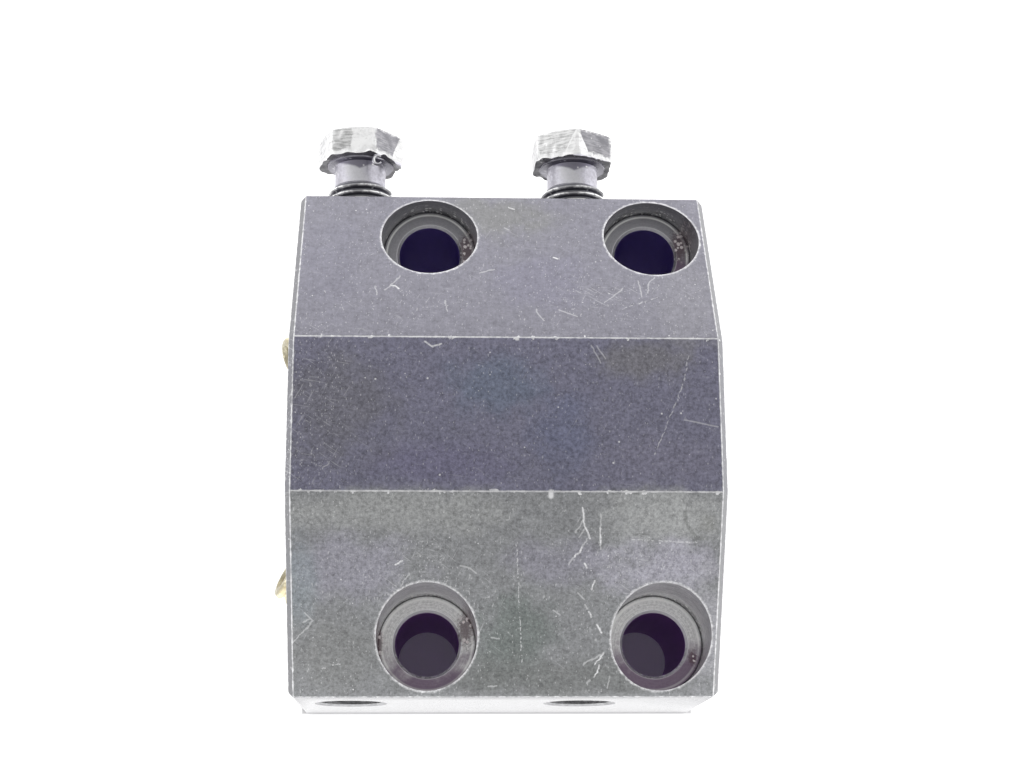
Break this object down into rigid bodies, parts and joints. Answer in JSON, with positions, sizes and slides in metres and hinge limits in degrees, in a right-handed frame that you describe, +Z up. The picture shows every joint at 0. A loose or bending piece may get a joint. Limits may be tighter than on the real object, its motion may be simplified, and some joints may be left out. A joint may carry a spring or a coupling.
{
  "type": "boring bar holder block",
  "caption": "Bolt-on lathe tool block with sloped shoulders, a through bore for a boring bar, side clamp screws and swivelling coolant nozzles.",
  "frame": {"origin": "centre of the base face, which bolts to the turret", "axes": "+X along the bar bore from the nozzle end to the back, +Y across it towards the fitted clamp screws, +Z up from the base"},
  "size_m": [0.0919, 0.1246, 0.0625],
  "materials": {
    "black_steel": "satin",
    "worn_steel": "satin",
    "brass": "satin",
    "ring_steel": "satin",
    "rubber": "matte"
  },
  "bodies": {
    "block": {"holder_block": "black_steel", "nozzle_ring_upper": "ring_steel", "nozzle_ring_lower": "ring_steel", "nozzle_seal_upper": "rubber", "nozzle_seal_lower": "rubber", "inlet_seal_upper": "rubber", "inlet_seal_lower": "rubber"},
    "screw_left": {"clamp_screw_left": "worn_steel"},
    "screw_right": {"clamp_screw_right": "worn_steel"},
    "nozzle_upper": {"nozzle_ball_upper": "brass"},
    "nozzle_lower": {"nozzle_ball_lower": "brass"}
  },
  "joints": [
    {"name": "screw_left_feed", "type": "slide", "parent": "block", "child": "screw_left", "axis": [0, -1, 0], "range_m": [-0.02, 0.008]},
    {"name": "screw_right_feed", "type": "slide", "parent": "block", "child": "screw_right", "axis": [0, -1, 0], "range_m": [-0.02, 0.008]},
    {"name": "nozzle_upper_swivel", "type": "hinge", "parent": "block", "child": "nozzle_upper", "pos_m": [-0.0407, 0.0276, 0.00925], "axis": [0, 0, 1], "range_deg": [-48, 6]},
    {"name": "nozzle_lower_swivel", "type": "hinge", "parent": "block", "child": "nozzle_lower", "pos_m": [-0.0407, -0.0276, 0.00925], "axis": [0, 0, 1], "range_deg": [-1, 53]}
  ]
}
